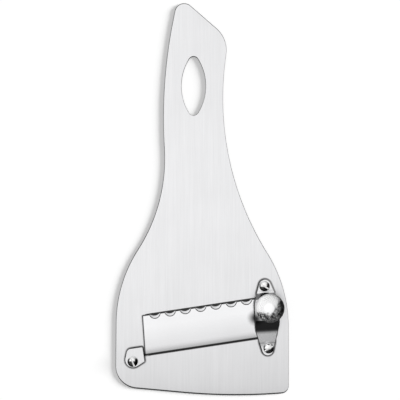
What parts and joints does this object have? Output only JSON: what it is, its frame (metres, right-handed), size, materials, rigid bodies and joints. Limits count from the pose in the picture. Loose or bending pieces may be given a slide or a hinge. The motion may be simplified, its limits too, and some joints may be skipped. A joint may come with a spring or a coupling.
{
  "type": "truffle slicer",
  "caption": "Flat steel hand slicer: a scalloped blade over a window is lifted by a knurled knob on a bridge, to set the slice; the handle has a hanging hole.",
  "frame": {"origin": "middle of the plate's outline, on the plane that its flat back lies on", "axes": "+Y towards the handle's end, +Z out of the working face, +X to the right as seen from the front with the handle up"},
  "size_m": [0.09, 0.204, 0.017],
  "materials": {
    "brushed_plate": "brushed along the handle",
    "polished_blade": "polished, hollow-ground scallops",
    "keeper": "brushed",
    "bridge": "bright, finely polished",
    "screws": "polished nickel",
    "knob": "bright, diamond knurled barrel and smooth crown",
    "spindle": "turned",
    "spring_clip": "spring steel"
  },
  "bodies": {
    "slicer_body": {"body_plate": "brushed_plate", "blade_keeper": "keeper", "keeper_screw": "screws", "bridge": "bridge", "upper_bridge_screw": "screws", "lower_bridge_screw": "screws", "threaded_bush": "spindle"},
    "blade": {"blade": "polished_blade"},
    "spindle_washers": {"upper_washer": "spindle", "lower_washer": "spindle"},
    "knob_and_spindle": {"adjusting_screw": "spindle", "retaining_clip": "spring_clip", "knob": "knob"}
  },
  "joints": [
    {"name": "blade_tilt", "type": "hinge", "parent": "slicer_body", "child": "blade", "pos_m": [0.00522, -0.07534, 0.0022], "axis": [0.9889, 0.1487, 0], "range_deg": [-2.2, 4.9]},
    {"name": "spindle_travel", "type": "slide", "parent": "slicer_body", "child": "spindle_washers", "axis": [0, 0, 1], "range_m": [-0.00057, 0.0013]},
    {"name": "knob_turn", "type": "hinge", "parent": "spindle_washers", "child": "knob_and_spindle", "pos_m": [0.03454, -0.0554, 0.009], "axis": [0, 0, 1], "range_deg": [-292, 664]}
  ],
  "couplings": [
    {"joint": "spindle_travel", "follows": "knob_turn", "m_per_rad": 0.00011141},
    {"joint": "blade_tilt", "follows": "knob_turn", "ratio": 0.0072548}
  ]
}
